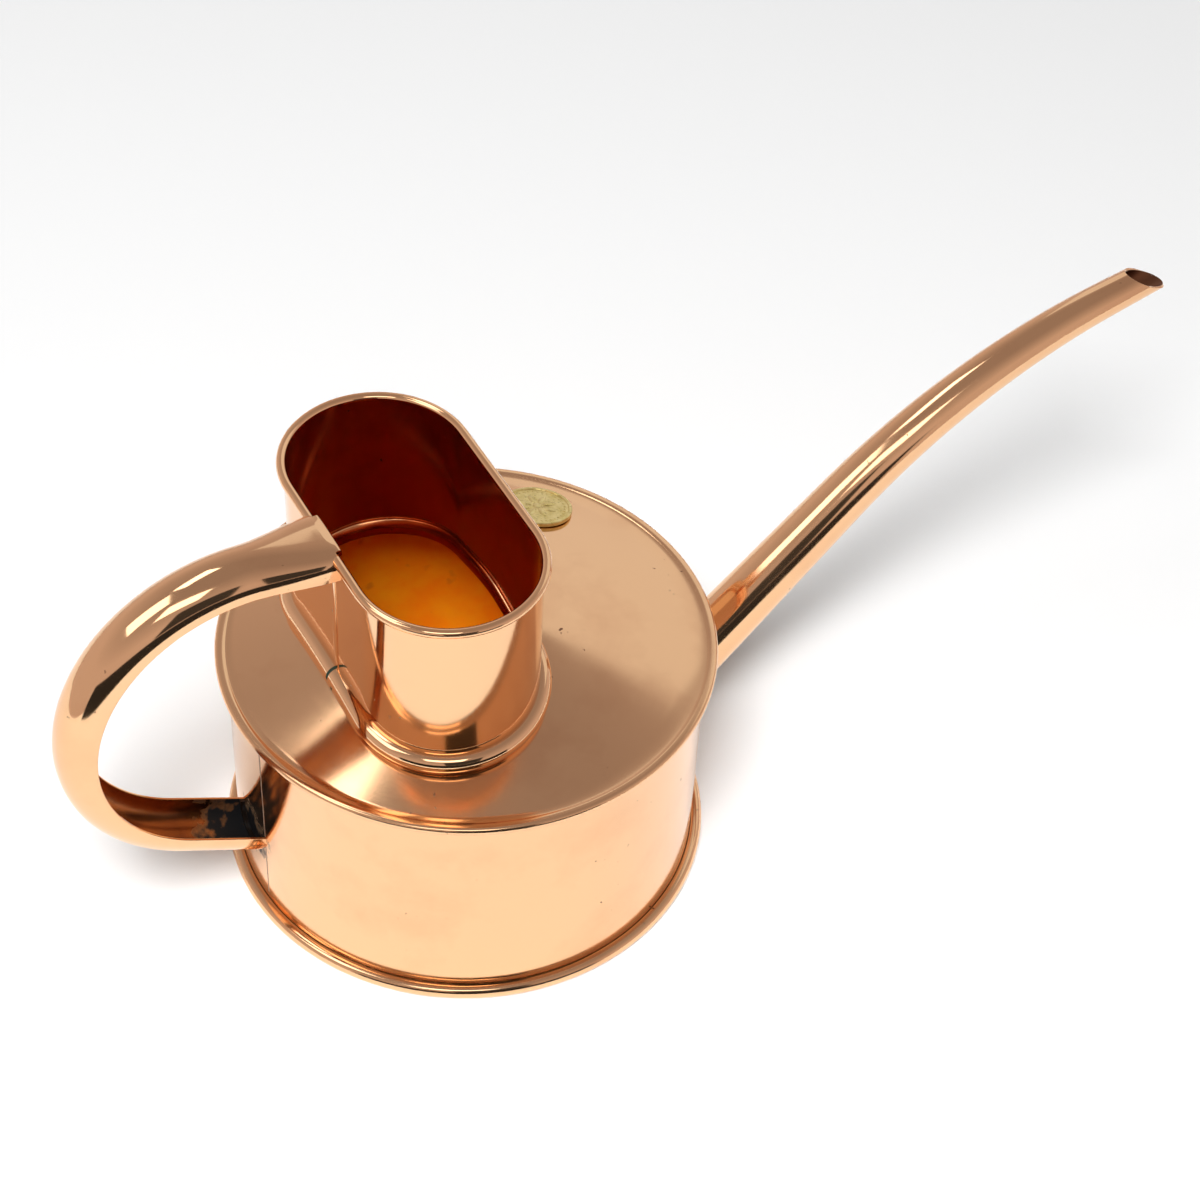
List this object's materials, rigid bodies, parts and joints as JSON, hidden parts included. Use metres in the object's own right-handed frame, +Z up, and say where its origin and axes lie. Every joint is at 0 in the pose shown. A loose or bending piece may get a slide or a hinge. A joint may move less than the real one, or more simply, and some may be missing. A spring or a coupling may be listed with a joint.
{
  "type": "watering can",
  "caption": "Copper indoor watering can: round drum, obround filler neck, open channel handle and long tapered spout.",
  "frame": {"origin": "on the drum's axis, on the plane the can stands on", "axes": "+Z up, +X towards the spout, -X towards the handle, +Y to the side the badge is on"},
  "size_m": [0.3389, 0.1364, 0.1302],
  "materials": {
    "copper": "polished, lightly handled",
    "wire": "bright drawn wire, sealed inside the rolled edges",
    "solder": "dull, tarnished",
    "brass": "worn, struck relief"
  },
  "bodies": {
    "root": {"drum_wall": "copper", "drum_seam_solder": "solder", "foot_wire": "wire", "base_disc": "copper", "base_solder": "solder", "shoulder": "copper", "neck_tube": "copper", "neck_seam_solder": "solder", "rim_wire": "wire", "neck_collar": "copper", "collar_solder": "solder", "handle_channel": "copper", "handle_top_solder": "solder", "handle_foot_solder": "solder", "spout_tube": "copper", "spout_seam_solder": "solder", "spout_solder": "solder", "badge": "brass", "badge_solder": "solder"}
  },
  "joints": []
}
